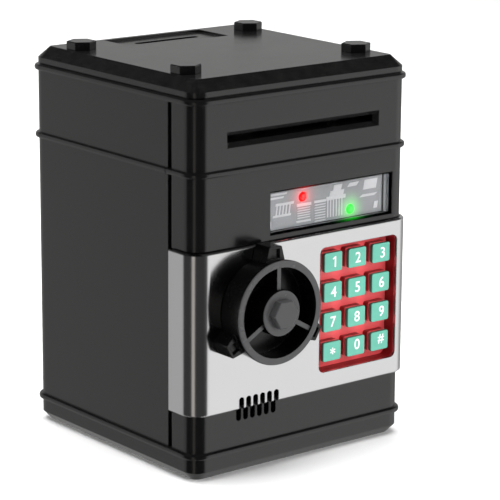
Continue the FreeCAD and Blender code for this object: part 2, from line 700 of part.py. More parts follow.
def keypad_membrane():
    """Rubber sheet behind the keys."""
    return pad_window(MEMBRANE_Y, MEMBRANE_Y + 0.8, 1.3).common(door_core(SHEET, 0))


def keypad_board():
    """Switch board on two ribs in front of the door's back."""
    board = pad_window(MEMBRANE_Y + 0.8, MEMBRANE_Y + 2.3, 1.0).common(door_core(SHEET, 0))
    back = DOOR_BACK - 1.6
    ribs = [box(x, x + 3, MEMBRANE_Y + 2.3, back, PAD_Z0 + 4, PAD_Z0 + PAD_H - 4) for x in (PAD_X0 + 3.8, PAD_X0 + 41.8)]
    return join(board, *ribs)


def turned(shape, angle):
    """Copy turned about the dial's axis, clockwise seen from the front."""
    copy = shape.copy()
    copy.rotate(V(DIAL_X, 0, DIAL_Z), Y, angle)
    return copy


def lobe():
    """Finger grip at the top of the dial."""
    z0, z1 = DIAL_Z + DRUM_R - 1.0, DIAL_Z + LOBE_R
    y1 = DIAL_BACK
    y0 = DOOR_FACE - 10.0
    corners = [(-5.6, z0), (-5.3, z0 + 1.2), (-3.5, z1), (3.5, z1), (5.3, z0 + 1.2), (5.6, z0), (-5.6, z0)]
    face = Part.Face(Part.makePolygon([V(DIAL_X + x, y0, z) for x, z in corners]))
    block = face.extrude(Y * (y1 - y0))
    block = block.makeFillet(0.8, edges_along(block, Y)[:1] + edges_along(block, Y)[2:4])
    pocket = box(DIAL_X - 2.4, DIAL_X + 2.4, y0 - 1, y0 + 1.2, z0 + 2.4, z1 - 1.3)
    return block.cut(pocket)


def dial_wheel():
    """Hand wheel: ring, three lobes, hub and three spokes over a bowl."""
    depth = DIAL_BACK - RING_FRONT
    drum = Part.makeCone(RING_R, DRUM_R, depth, V(DIAL_X, RING_FRONT, DIAL_Z), Y)
    drum = drum.makeFillet(0.8, edges_at(drum, Y, RING_FRONT))
    bowl = rod(DIAL_X, RING_FRONT - 1, DIAL_Z, RING_R - RING_T, depth + 1 - 2.4, Y)
    wheel = drum.cut(bowl)
    hub_front = RING_FRONT - HUB_OUT
    hub = rod(DIAL_X, hub_front, DIAL_Z, HUB_R, DIAL_BACK - hub_front, Y)
    hub = hub.makeFillet(0.6, edges_at(hub, Y, hub_front))
    parts = [hub]
    for k in range(3):
        spoke = box(DIAL_X - 1.1, DIAL_X + 1.1, RING_FRONT + 1.2, DIAL_BACK - 1, DIAL_Z + HUB_R - 1,
                    DIAL_Z + RING_R - RING_T + 1)
        parts += [turned(spoke, 120 * k), turned(lobe(), 120 * k)]
    wheel = join(wheel, *parts)
    return wheel.cut(rod(DIAL_X, DIAL_BACK - 9.0, DIAL_Z, SHAFT_R, 12, Y))


def dial_cap():
    """Hexagonal boss on the hub."""
    front = RING_FRONT - HUB_OUT
    block = hexagon(HEX_AF, HEX_H, DIAL_X, front - HEX_H, DIAL_Z, Y, 0)
    return block.makeChamfer(0.35, edges_at(block, Y, front - HEX_H))


def dial_shaft():
    """Shaft from the hand wheel to the latch."""
    front = DIAL_BACK - 9.0
    return rod(DIAL_X, front, DIAL_Z, SHAFT_R, LATCH_Y0 + 3.0 - front, Y)


def dial_bush():
    """Sleeve through the door that the shaft turns in."""
    sleeve = rod(DIAL_X, DOOR_FACE, DIAL_Z, BUSH_R, DOOR_DEPTH, Y)
    return sleeve.cut(rod(DIAL_X, DOOR_FACE - 1, DIAL_Z, SHAFT_R + RUN, 30, Y))


def lock_cam():
    """Disc with a notch for each end of the dial's turn."""
    disc = rod(DIAL_X, CAM_Y0, DIAL_Z, CAM_R, CAM_T, Y).cut(rod(DIAL_X, CAM_Y0 - 1, DIAL_Z, SHAFT_R, 9, Y))
    reach = CAM_R - PLUNGER_TRAVEL - 2.0
    notch = box(DIAL_X + reach, DIAL_X + 20, CAM_Y0 - 1, CAM_Y0 + 9, DIAL_Z - 3.1, DIAL_Z + 3.1)
    return disc.cut(notch).cut(turned(notch, -90))


def latch_tongue():
    """Arm that turns behind the frame."""
    arm = soft(DIAL_X - 3.5, DIAL_X + 3.5, LATCH_Y0, LATCH_Y0 + 2, DIAL_Z - TONGUE_L, DIAL_Z, 1.5, Y)
    plate = join(arm, rod(DIAL_X, LATCH_Y0, DIAL_Z, 7.5, 2, Y))
    return plate.cut(rod(DIAL_X, LATCH_Y0 - 1, DIAL_Z, SHAFT_R, 9, Y))


def cam_screw():
    """Screw that holds the latch on the shaft."""
    y = LATCH_Y0 + 3.0
    head = rod(DIAL_X, y, DIAL_Z, 5.5, 1.6, Y)
    head = head.cut(box(DIAL_X - 3, DIAL_X + 3, y + 0.7, y + 3, DIAL_Z - 0.5, DIAL_Z + 0.5))
    return head.cut(box(DIAL_X - 0.5, DIAL_X + 0.5, y + 0.7, y + 3, DIAL_Z - 3, DIAL_Z + 3))


SOLENOID_X = -6.0


def solenoid_body():
    """Lock magnet on the door's back."""
    y1 = CAM_MID + PLUNGER_R + 2.2
    case = box(SOLENOID_X, SOLENOID_X + 22, DOOR_BACK, y1, DIAL_Z - 6, DIAL_Z + 6)
    case = case.makeFillet(0.5, edges_along(case, X))
    return case.cut(rod(SOLENOID_X - 1, CAM_MID, DIAL_Z, PLUNGER_R + RUN, 24.5, X))


def solenoid_plunger():
    """Pin that drops into the cam's notch."""
    pin = rod(PLUNGER_X, CAM_MID, DIAL_Z, PLUNGER_R, 26.0, X)
    return join(pin, rod(PLUNGER_X + 1.6, CAM_MID, DIAL_Z, PLUNGER_R + 0.8, 0.8, X))


def plunger_spring():
    """Coil envelope between the pin's collar and the magnet."""
    x0 = PLUNGER_X + 2.4
    tube = rod(x0, CAM_MID, DIAL_Z, PLUNGER_R + 0.8, SOLENOID_X - x0, X)
    return tube.cut(rod(x0 - 1, CAM_MID, DIAL_Z, PLUNGER_R + 0.25, 20, X))


def build():
    """Every node by name."""
    nodes = {
        "base_tray": base_tray(), "battery_cover": battery_cover(), "battery_cells": battery_cells(),
        "battery_contacts": battery_contacts(), "housing_screws": housing_screws(),
        "rear_shell": rear_shell(), "front_shell": front_shell(), "hinge_pins": hinge_pins(),
        "door_frame": door_frame(), "deck": deck(), "lid": lid(), "lid_bolts": lid_bolts(),
        "window_lens": window_lens(), "window_card": window_card(),
        "red_led": led("red_led"), "green_led": led("green_led"),
        "note_guide": note_guide(), "feed_shaft": axle(DRIVE_Z, -49.0, GEAR_X + GEAR_W),
        "feed_rollers": rollers(DRIVE_Z, DRIVE_R), "roller_gear": roller_gear(),
        "pinch_shaft": axle(PINCH_Z, -49.0, GEAR_X - 0.5), "pinch_rollers": rollers(PINCH_Z, PINCH_R),
        "motor_pinion": motor_pinion(), "feed_motor": feed_motor(),
        "main_board": main_board(), "speaker": speaker(),
        "door_skin": door_skin(), "door_liner": door_liner(), "door_screws": door_screws(),
        "keypad_tray": keypad_tray(), "keypad_membrane": keypad_membrane(), "keypad_board": keypad_board(),
        "dial_wheel": dial_wheel(), "dial_cap": dial_cap(), "dial_shaft": dial_shaft(),
        "dial_bush": dial_bush(), "lock_cam": lock_cam(), "latch_tongue": latch_tongue(),
        "cam_screw": cam_screw(), "solenoid_body": solenoid_body(),
        "solenoid_plunger": solenoid_plunger(), "plunger_spring": plunger_spring(),
    }
    for name, x, z in key_spots():
        nodes["key_" + name] = key(x, z)
    return nodes


os.makedirs("parts", exist_ok=True)
for node, shape in build().items():
    shape.exportStep("parts/" + node + ".step")
    print(node, len(shape.Solids), round(shape.Volume), shape.isValid())
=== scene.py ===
# %% [markdown]
# # A toy cash-machine bank, dressed part by part
# The moulded parts arrive from the CAD frame with their true shapes. This lesson gives every one of them a
# finish worked out in nodes, and adds the small things a drawing office leaves out: printed digits, the
# picture behind the window, a coil spring, ribbed rubber rollers and glowing lamps.

# %% Open the frame
import json
import math

import bpy
import numpy as np
from mathutils import Matrix, Vector


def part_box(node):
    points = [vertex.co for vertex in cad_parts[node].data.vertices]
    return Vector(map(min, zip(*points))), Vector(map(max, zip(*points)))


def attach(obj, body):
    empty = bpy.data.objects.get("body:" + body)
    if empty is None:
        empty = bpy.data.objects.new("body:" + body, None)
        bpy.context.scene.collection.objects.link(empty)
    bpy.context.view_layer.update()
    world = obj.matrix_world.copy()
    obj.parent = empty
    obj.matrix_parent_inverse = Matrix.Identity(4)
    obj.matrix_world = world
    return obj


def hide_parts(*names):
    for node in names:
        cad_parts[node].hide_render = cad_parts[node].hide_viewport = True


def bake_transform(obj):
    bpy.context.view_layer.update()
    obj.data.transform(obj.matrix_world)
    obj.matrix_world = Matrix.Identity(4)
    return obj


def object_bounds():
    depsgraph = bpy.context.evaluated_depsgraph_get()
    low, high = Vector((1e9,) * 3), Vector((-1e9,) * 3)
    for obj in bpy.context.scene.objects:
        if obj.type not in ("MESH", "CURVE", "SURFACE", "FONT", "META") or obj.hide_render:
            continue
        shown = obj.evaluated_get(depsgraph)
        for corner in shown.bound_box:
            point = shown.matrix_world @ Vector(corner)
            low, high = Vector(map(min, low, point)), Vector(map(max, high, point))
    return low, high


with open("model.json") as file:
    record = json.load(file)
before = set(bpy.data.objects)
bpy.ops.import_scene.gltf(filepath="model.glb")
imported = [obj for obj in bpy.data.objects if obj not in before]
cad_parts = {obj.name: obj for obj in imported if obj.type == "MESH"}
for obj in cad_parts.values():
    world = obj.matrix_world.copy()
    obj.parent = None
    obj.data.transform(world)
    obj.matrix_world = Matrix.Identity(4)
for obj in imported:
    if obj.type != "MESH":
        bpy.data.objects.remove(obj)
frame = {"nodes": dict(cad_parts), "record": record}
cad_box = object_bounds()
nodes = frame["nodes"]
slot_of = {row["node"]: row["material_slot"] for row in frame["record"]["subparts"]}
MM = 0.001
scene = bpy.context.scene
print("parts in the frame:", len(nodes))

# %% [markdown]
# ## The camera
# A long lens stands a little above the lid and to the left of the front, so the side wall shows beside the
# face. The camera's own axes are written as three vectors: right, up and backwards. That is easier to check
# than three rotation angles.

# %% Place the camera
CAMERA_SPOT = Vector((-0.6786, -0.8676, 0.3629))
YAW, PITCH, ROLL = (math.radians(a) for a in (38.82, 14.07, 0.41))
LENS = 171.45

forward = Vector((math.sin(YAW) * math.cos(PITCH), math.cos(YAW) * math.cos(PITCH), -math.sin(PITCH)))
level_right = forward.cross(Vector((0, 0, 1))).normalized()
level_up = level_right.cross(forward)
right = level_right * math.cos(ROLL) + level_up * math.sin(ROLL)
up = level_up * math.cos(ROLL) - level_right * math.sin(ROLL)
camera = bpy.data.objects.new("camera", bpy.data.cameras.new("camera"))
camera.data.lens = LENS
camera.data.sensor_width = 36.0
camera.data.clip_start = 0.05
camera.matrix_world = Matrix.Translation(CAMERA_SPOT) @ Matrix((right, up, -forward)).transposed().to_4x4()
scene.collection.objects.link(camera)
scene.camera = camera
part_middle = (Vector(cad_box[0]) + Vector(cad_box[1])) / 2
print("camera to the middle of the part:", round((CAMERA_SPOT - part_middle).length, 3), "m")

# %% [markdown]
# ## Writing nodes as formulas
# The air round the bank and every finish are node trees. A tree is long to write node by node, so these
# helpers let a tree be read like a formula: each one adds a node, joins what it is given and hands back the
# result.

# %% Node helpers
def shade(r, g, b):
    """A linear colour with full alpha."""
    return (r, g, b, 1.0)


def add_node(tree, kind, values=None, **settings):
    """A node with its settings and its plain input values."""
    node = tree.nodes.new(kind)
    for key, value in settings.items():
        setattr(node, key, value)
    for key, value in (values or {}).items():
        node.inputs[key].default_value = value
    return node


def math_node(tree, operation, first, second=None):
    """first (operation) second; each is a socket or a number."""
    node = add_node(tree, "ShaderNodeMath", operation=operation)
    for index, value in enumerate((first, second)):
        if value is None:
            continue
        if isinstance(value, (int, float)):
            node.inputs[index].default_value = value
        else:
            tree.links.new(value, node.inputs[index])
    return node.outputs[0]


def map_range(tree, value, low, high, to_low=0.0, to_high=1.0, curve="LINEAR"):
    """value moved from low..high to to_low..to_high, and kept inside; curve is straight or smooth."""
    limits = {"From Min": low, "From Max": high, "To Min": to_low, "To Max": to_high}
    node = add_node(tree, "ShaderNodeMapRange", limits, interpolation_type=curve)
    tree.links.new(value, node.inputs["Value"])
    return node.outputs["Result"]


def mix_colour(tree, factor, first, second):
    """Colour between first and second by factor; each is a socket or a colour."""
    node = add_node(tree, "ShaderNodeMix", data_type="RGBA")
    tree.links.new(factor, node.inputs["Factor"])
    for index, value in ((6, first), (7, second)):
        if isinstance(value, tuple):
            node.inputs[index].default_value = value
        else:
            tree.links.new(value, node.inputs[index])
    return node.outputs[2]


# %% [markdown]
# ## A bright studio with dark cards
# Glossy black plastic shows only what it mirrors, so the air itself is drawn first, by direction. A pale wall
# runs round the room, and gives way to a dark ceiling between about 24 and 31 degrees up, which keeps the
# lid's sloping edge black. The wall is brighter to the front right, and a little dimmer opposite the curtain.
# The curtain is dark and hangs in front of the rounded corner, with one narrow, warm, bright strip low down
# in it: that strip is the line of light down the corner. Soft panels, hidden from reflections, then light
# the colours.

# %% Light it
WALL_LIGHT, CEILING_LIGHT, CURTAIN_SHARE, STRIP_LIGHT = 0.61, 0.03, 0.09, 0.60
FAR_GAIN, RIGHT_GAIN = 0.75, 2.1
CURTAIN_TOWARDS = (-0.735, -0.678, 0.0)
STRIP_TOWARDS = (-0.841, -0.540, 0.0)
RIGHT_TOWARDS = (0.70, -0.714, 0.0)
# Heights are sines of the angle above level: where the wall ends, and where the strip ends.
WALL_TOP, STRIP_TOP = (0.40, 0.52), (0.15, 0.35)
# Edges are cosines of the angle from a direction.
CURTAIN_EDGE, FAR_EDGE, RIGHT_EDGE, STRIP_EDGE = (0.26, 0.44), (-0.85, -0.45), (0.70, 0.95), (0.982, 0.995)
PALE, WARM = shade(1.0, 0.995, 0.985), shade(1.0, 0.90, 0.78)


def draw_air(tree):
    """Radiance by direction d: wall or ceiling by d.z, times a share or a gain for where the level part of d
    points, plus the strip. Lines of sight from the camera see white."""
    def smooth(value, edge, before, after):
        return map_range(tree, value, *edge, before, after, curve="SMOOTHSTEP")

    def along(vector, direction):
        node = add_node(tree, "ShaderNodeVectorMath", {1: direction}, operation="DOT_PRODUCT")
        tree.links.new(vector, node.inputs[0])
        return node.outputs["Value"]

    ray = add_node(tree, "ShaderNodeTexCoord").outputs["Generated"]
    flat = add_node(tree, "ShaderNodeVectorMath", {1: (1.0, 1.0, 0.0)}, operation="MULTIPLY")
    tree.links.new(ray, flat.inputs[0])
    level = add_node(tree, "ShaderNodeVectorMath", operation="NORMALIZE")
    tree.links.new(flat.outputs[0], level.inputs[0])
    rise = along(ray, (0.0, 0.0, 1.0))
    to_curtain, to_right, to_strip = (
        along(level.outputs[0], towards) for towards in (CURTAIN_TOWARDS, RIGHT_TOWARDS, STRIP_TOWARDS))
    height = smooth(rise, WALL_TOP, WALL_LIGHT, CEILING_LIGHT)
    far_wall = smooth(to_curtain, FAR_EDGE, FAR_GAIN, 1.0)
    curtain = smooth(to_curtain, CURTAIN_EDGE, 1.0, CURTAIN_SHARE)
    right_wall = smooth(to_right, RIGHT_EDGE, 1.0, RIGHT_GAIN)
    room = math_node(tree, "MULTIPLY", math_node(tree, "MULTIPLY", height, far_wall),
                     math_node(tree, "MULTIPLY", curtain, right_wall))
    strip = math_node(tree, "MULTIPLY", smooth(to_strip, STRIP_EDGE, 0.0, STRIP_LIGHT),
                      smooth(rise, STRIP_TOP, 1.0, 0.0))
    air = tree.nodes["Background"]
    tree.links.new(mix_colour(tree, strip, PALE, WARM), air.inputs["Color"])
    seen = add_node(tree, "ShaderNodeLightPath").outputs["Is Camera Ray"]
    strength = math_node(tree, "MAXIMUM", math_node(tree, "ADD", room, strip), seen)
    tree.links.new(strength, air.inputs["Strength"])


scene.view_settings.view_transform = "Standard"
world = bpy.data.worlds.new("studio_air")
scene.world = world
world.use_nodes = True
draw_air(world.node_tree)
print("nodes in the air:", len(world.node_tree.nodes))


def panel_light(name, spot, aim, size, power):
    """A square soft panel at spot, turned so that its face looks at aim."""
    lamp = bpy.data.lights.new(name, "AREA")
    lamp.shape = "RECTANGLE"
    lamp.size, lamp.size_y = size
    lamp.energy = power
    holder = bpy.data.objects.new(name, lamp)
    holder.location = spot
    holder.rotation_euler = (Vector(aim) - Vector(spot)).to_track_quat("-Z", "Y").to_euler()
    holder.visible_glossy = False
    scene.collection.objects.link(holder)


panel_light("panel_left", (-1.3, 0.1, 0.7), (0, 0, 0.09), (0.7, 0.9), 9.0)
panel_light("panel_front", (0.35, -1.5, 0.7), (0, 0, 0.09), (0.9, 0.9), 17.0)
panel_light("panel_top", (0.0, 0.2, 1.7), (0, 0, 0.1), (1.6, 1.6), 62.0)

# %% [markdown]
# ## Meshes from arrays
# Every new piece starts as numbers: a grid of points, or a flat outline with a thickness. These helpers turn
# the numbers into a mesh whose object stays at the origin.

# %% Mesh helpers
def add_object(name, points, faces, material, smooth=True):
    """An object at the origin, from an array of points (n, 3) and a list of faces."""
    mesh = bpy.data.meshes.new(name)
    mesh.from_pydata(np.asarray(points, float).tolist(), [], [list(map(int, f)) for f in faces])
    mesh.validate()
    mesh.polygons.foreach_set("use_smooth", np.full(len(mesh.polygons), smooth))
    mesh.materials.append(material)
    thing = bpy.data.objects.new(name, mesh)
    scene.collection.objects.link(thing)
    return thing


def add_piece(name, points, faces, body, material, smooth=True):
    """A new object that rides on a CAD body, with the material that it is given."""
    piece = add_object(name, points, faces, material, smooth)
    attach(piece, body)
    return piece


def grid_faces(rows, columns, wrap_rows=False, wrap_columns=False):
    """Quads between neighbouring points of a grid: (i, j), (i, j+1), (i+1, j+1), (i+1, j)."""
    last_row, last_column = rows - (not wrap_rows), columns - (not wrap_columns)
    i, j = np.meshgrid(np.arange(last_row), np.arange(last_column), indexing="ij")
    i, j = i.ravel(), j.ravel()
    down, across = (i + 1) % rows, (j + 1) % columns
    corners = [i * columns + j, i * columns + across, down * columns + across, down * columns + j]
    return np.stack(corners, axis=1)


def along_x(radial, angles, x):
    """Points of surfaces of turning about X: y = r cos(a), z = r sin(a), for arrays of one shape."""
    return np.stack([x, radial * np.cos(angles), radial * np.sin(angles)], axis=-1)


def slab(outline, y_front, y_back):
    """A flat outline in X and Z, given a thickness in Y: both faces and the rim. The outline runs clockwise
    seen from the front, so that every face looks outwards."""
    flat = np.asarray(outline, float)
    n = len(flat)
    front = np.column_stack([flat[:, 0], np.full(n, y_front), flat[:, 1]])
    back = np.column_stack([flat[:, 0], np.full(n, y_back), flat[:, 1]])
    k = np.arange(n)
    rim = np.stack([k, (k + 1) % n, (k + 1) % n + n, k + n], axis=1)
    faces = [k[::-1].tolist(), (k + n).tolist()] + rim.tolist()
    return np.vstack([front, back]), faces


def many_slabs(outlines, y_front, y_back):
    """Several slabs in one mesh."""
    points, faces, start = [], [], 0
    for outline in outlines:
        p, f = slab(outline, y_front, y_back)
        points.append(p)
        faces += [[start + q for q in face] for face in f]
        start += len(p)
    return np.vstack(points), faces


# %% [markdown]
# ## Effects that several finishes share
# Four small node groups do most of the work. Moulded skin is the slight cloudiness and grain of plastic.
# Edge wear finds edges by comparing a rounded normal with the true one, and rubs them a little. Dust settles
# where a surface looks up. Brush lines are the long scratches of rolled or ground metal.

# %% Build the node groups
def new_group(name, inputs, outputs):
    """An empty node group with named sockets; returns its tree and its two end nodes."""
    tree = bpy.data.node_groups.new(name, "ShaderNodeTree")
    for label, kind, value in inputs:
        socket = tree.interface.new_socket(name=label, in_out="INPUT", socket_type=kind)
        if value is not None:
            socket.default_value = value
    for label, kind in outputs:
        tree.interface.new_socket(name=label, in_out="OUTPUT", socket_type=kind)
    return tree, tree.nodes.new("NodeGroupInput"), tree.nodes.new("NodeGroupOutput")


def noise(tree, vector, scale, detail=2.0, roughness=0.5):
    """Noise read at vector; scale is a number or a socket."""
    node = add_node(tree, "ShaderNodeTexNoise", {"Detail": detail, "Roughness": roughness})
    tree.links.new(vector, node.inputs["Vector"])
    if isinstance(scale, (int, float)):
        node.inputs["Scale"].default_value = scale
    else:
        tree.links.new(scale, node.inputs["Scale"])
    return node.outputs["Fac"]


def make_moulded_skin():
    """Cloudy colour, uneven gloss and a fine grain for moulded or painted surfaces."""
    tree, start, end = new_group(
        "moulded_skin",
        [("Vector", "NodeSocketVector", None), ("Colour", "NodeSocketColor", None),
         ("Cloud", "NodeSocketFloat", 0.06), ("Roughness", "NodeSocketFloat", 0.4),
         ("Spread", "NodeSocketFloat", 0.05), ("Grain", "NodeSocketFloat", 1500.0)],
        [("Colour", "NodeSocketColor"), ("Roughness", "NodeSocketFloat"), ("Height", "NodeSocketFloat")])
    vector = start.outputs["Vector"]
    cloud = noise(tree, vector, 38.0, 3.0)
    around = math_node(tree, "SUBTRACT", cloud, 0.5)
    gain = math_node(tree, "ADD", math_node(tree, "MULTIPLY", around, start.outputs["Cloud"]), 1.0)
    tint = add_node(tree, "ShaderNodeVectorMath", operation="SCALE")
    tree.links.new(start.outputs["Colour"], tint.inputs[0])
    tree.links.new(gain, tint.inputs["Scale"])
    tree.links.new(tint.outputs[0], end.inputs["Colour"])
    patch = math_node(tree, "SUBTRACT", noise(tree, vector, 95.0, 4.0, 0.65), 0.5)
    uneven = math_node(tree, "MULTIPLY", patch, start.outputs["Spread"])
    tree.links.new(math_node(tree, "ADD", start.outputs["Roughness"], uneven), end.inputs["Roughness"])
    tree.links.new(noise(tree, vector, start.outputs["Grain"], 2.0), end.inputs["Height"])
    return tree


def make_edge_wear():
    """Mask of rubbed edges: 1 minus the dot of a rounded normal and the true normal, broken up by noise."""
    tree, start, end = new_group(
        "edge_wear",
        [("Vector", "NodeSocketVector", None), ("Radius", "NodeSocketFloat", 0.0004),
         ("Amount", "NodeSocketFloat", 0.5)],
        [("Mask", "NodeSocketFloat"), ("Normal", "NodeSocketVector")])
    rounded = add_node(tree, "ShaderNodeBevel", samples=6)
    tree.links.new(start.outputs["Radius"], rounded.inputs["Radius"])
    true = add_node(tree, "ShaderNodeNewGeometry")
    dot = add_node(tree, "ShaderNodeVectorMath", operation="DOT_PRODUCT")
    tree.links.new(rounded.outputs["Normal"], dot.inputs[0])
    tree.links.new(true.outputs["Normal"], dot.inputs[1])
    edge = map_range(tree, dot.outputs["Value"], 0.985, 0.80)
    broken = map_range(tree, noise(tree, start.outputs["Vector"], 420.0, 3.0, 0.6), 0.42, 0.66)
    mask = math_node(tree, "MULTIPLY", math_node(tree, "MULTIPLY", edge, broken), start.outputs["Amount"])
    tree.links.new(mask, end.inputs["Mask"])
    tree.links.new(rounded.outputs["Normal"], end.inputs["Normal"])
    return tree


def make_dust():
    """Mask of dust: where the surface looks up, in soft patches."""
    tree, start, end = new_group(
        "dust", [("Vector", "NodeSocketVector", None), ("Amount", "NodeSocketFloat", 0.1)],
        [("Mask", "NodeSocketFloat")])
    split = add_node(tree, "ShaderNodeSeparateXYZ")
    tree.links.new(add_node(tree, "ShaderNodeNewGeometry").outputs["Normal"], split.inputs[0])
    upward = map_range(tree, split.outputs["Z"], 0.3, 1.0)
    patch = map_range(tree, noise(tree, start.outputs["Vector"], 160.0, 5.0, 0.7), 0.35, 0.75)
    mask = math_node(tree, "MULTIPLY", math_node(tree, "MULTIPLY", upward, patch), start.outputs["Amount"])
    tree.links.new(mask, end.inputs["Mask"])
    return tree


def make_brush_lines():
    """Long fine lines: noise squeezed across one direction."""
    tree, start, end = new_group(
        "brush_lines", [("Vector", "NodeSocketVector", None), ("Stretch", "NodeSocketVector", None)],
        [("Height", "NodeSocketFloat")])
    squeeze = add_node(tree, "ShaderNodeVectorMath", operation="MULTIPLY")
    tree.links.new(start.outputs["Vector"], squeeze.inputs[0])
    tree.links.new(start.outputs["Stretch"], squeeze.inputs[1])
    tree.links.new(noise(tree, squeeze.outputs[0], 1.0, 3.0, 0.6), end.inputs["Height"])
    return tree


MOULDED_SKIN = make_moulded_skin()
EDGE_WEAR = make_edge_wear()
DUST = make_dust()
BRUSH_LINES = make_brush_lines()
print("node groups:", len(bpy.data.node_groups))


# %% [markdown]
# ## One recipe for every solid finish
# A finish is the same chain each time: skin gives colour, gloss and grain, the worn edge and the dust are
# laid over it, and a bump node turns the grain into light and shade. Only the numbers differ between glossy
# black plastic, silver paint and rubber.

# %% The finish recipe
DUST_COLOUR = shade(0.30, 0.29, 0.27)
GRAIN_DEPTH = 0.00002


def use_group(tree, group, vector, **values):
    """Place a node group, feed it the coordinates and set its values."""
    node = tree.nodes.new("ShaderNodeGroup")
    node.node_tree = group
    tree.links.new(vector, node.inputs["Vector"])
    for key, value in values.items():
        node.inputs[key].default_value = value
    return node


def finish(name, colour, roughness, worn=None, wear=0.4, metallic=0.0, cloud=0.08, spread=0.06, grain=1600.0,
           depth=0.02, coat=0.0, specular=0.5, radius=0.0004, dust=0.05, brush=None):
    """A solid material built from the shared groups. colour is a colour, or a pattern(tree, vector) that
    works one out over the part. brush is the stretch of metal lines, or None."""
    material = bpy.data.materials.new(name)
    material.use_nodes = True
    tree = material.node_tree
    shader = tree.nodes["Principled BSDF"]
    shader.inputs["Metallic"].default_value = metallic
    shader.inputs["Coat Weight"].default_value = coat
    shader.inputs["Coat Roughness"].default_value = 0.12
    shader.inputs["Specular IOR Level"].default_value = specular
    vector = add_node(tree, "ShaderNodeTexCoord").outputs["Object"]
    skin = use_group(tree, MOULDED_SKIN, vector, Cloud=cloud, Roughness=roughness, Spread=spread, Grain=grain)
    if callable(colour):
        tree.links.new(colour(tree, vector), skin.inputs["Colour"])
    else:
        skin.inputs["Colour"].default_value = colour
    edge = use_group(tree, EDGE_WEAR, vector, Radius=radius, Amount=wear)
    film = use_group(tree, DUST, vector, Amount=dust)
    rubbed = mix_colour(tree, edge.outputs["Mask"], skin.outputs["Colour"], worn or colour)
    dusty = mix_colour(tree, film.outputs["Mask"], rubbed, DUST_COLOUR)
    tree.links.new(dusty, shader.inputs["Base Color"])
    tree.links.new(skin.outputs["Roughness"], shader.inputs["Roughness"])
    height = skin.outputs["Height"]
    if brush is not None:
        lines = use_group(tree, BRUSH_LINES, vector, Stretch=brush)
        height = math_node(tree, "ADD", height, math_node(tree, "MULTIPLY", lines.outputs["Height"], 1.5))
    bump = add_node(tree, "ShaderNodeBump", {"Strength": depth * 10, "Distance": GRAIN_DEPTH})
    tree.links.new(height, bump.inputs["Height"])
    tree.links.new(edge.outputs["Normal"], bump.inputs["Normal"])
    tree.links.new(bump.outputs["Normal"], shader.inputs["Normal"])
    return material


# %% [markdown]
# ## Colours that change over a part
# A green board shows faint copper tracks under its lacquer: a cell pattern read on its own coordinates does
# that. A dry cell wears a printed jacket in two colours with a bare metal end. Red, mint and black parts
# carry painted light and shade: faces that look forwards take a lit colour and their walls a darker, shaded
# one, so a pattern follows the part's own normal.

# %% Patterns
def board_pattern(tree, vector):
    """Green lacquer over copper tracks: a line where the distance to a cell's edge is small."""
    tracks = add_node(tree, "ShaderNodeTexVoronoi", {"Scale": 330.0}, distance="MANHATTAN",
                      feature="DISTANCE_TO_EDGE")
    tree.links.new(vector, tracks.inputs["Vector"])
    line = map_range(tree, tracks.outputs["Distance"], 0.03, 0.05)
    return mix_colour(tree, line, shade(0.05, 0.22, 0.08), shade(0.012, 0.10, 0.035))


def jacket_pattern(tree, vector):
    """Two bands along X: dark jacket, then copper-coloured end, then bare metal."""
    split = add_node(tree, "ShaderNodeSeparateXYZ")
    tree.links.new(vector, split.inputs[0])
    band = map_range(tree, split.outputs["X"], 0.0095, 0.0105)
    tip = map_range(tree, split.outputs["X"], 0.0225, 0.0230)
    jacket = mix_colour(tree, band, shade(0.015, 0.015, 0.02), shade(0.55, 0.28, 0.10))
    return mix_colour(tree, tip, jacket, shade(0.6, 0.6, 0.6))


def lit_and_shaded_pattern(front, side, deepest=None):
    """Painted light and shade: faces that look forwards take the lit colour and every wall a darker, shaded
    one, standing in for light on the faces and shade on the walls. The mask is the size of the Y part of the
    part's own normal. With deepest, only faces in front of that Y take the first colour."""
    def pattern(tree, vector):
        split = add_node(tree, "ShaderNodeSeparateXYZ")
        tree.links.new(add_node(tree, "ShaderNodeTexCoord").outputs["Normal"], split.inputs[0])
        mask = map_range(tree, math_node(tree, "ABSOLUTE", split.outputs["Y"]), 0.45, 0.85)
        if deepest is not None:
            place = add_node(tree, "ShaderNodeSeparateXYZ")
            tree.links.new(vector, place.inputs[0])
            ahead = math_node(tree, "LESS_THAN", place.outputs["Y"], deepest)
            mask = math_node(tree, "MULTIPLY", mask, ahead)
        return mix_colour(tree, mask, side, front)
    return pattern


# %% [markdown]
# ## The finishes of this bank
# The cabinet is glossy black plastic whose grey look comes from what it mirrors. The door is bright silver
# paint, made as a smooth metal with a very fine grain. The hand wheel is a duller black, and the faces of its
# ring, spokes and hub that look forwards are painted greyer as lit faces, while its walls carry painted
# shade.
# The keys are mint green, on a bright red tray, and both carry painted shade on their walls.

# %% Make the finishes
# The faces of the wheel's ring, spokes and hub are in front of this and take the painted lit colour; its
# lobes and its floor are behind and keep the painted shade.
WHEEL_FACE_Y = -0.0775
# Painted shade on the tray's walls; its forward faces take the lit red.
TRAY_RED_LIT_AND_SHADED = lit_and_shaded_pattern(shade(0.90, 0.105, 0.115), shade(0.26, 0.006, 0.008))
# Painted shade on the keys' sides; their caps take the lit mint.
KEY_MINT_LIT_AND_SHADED = lit_and_shaded_pattern(shade(0.11, 0.42, 0.32), shade(0.03, 0.15, 0.11))
# Painted light and shade on the wheel: forward faces painted lighter, walls, lobes and floor painted dark.
WHEEL_BLACK_LIT_AND_SHADED = lit_and_shaded_pattern(shade(0.050, 0.050, 0.052), shade(0.0015, 0.0015, 0.0015), deepest=WHEEL_FACE_Y)

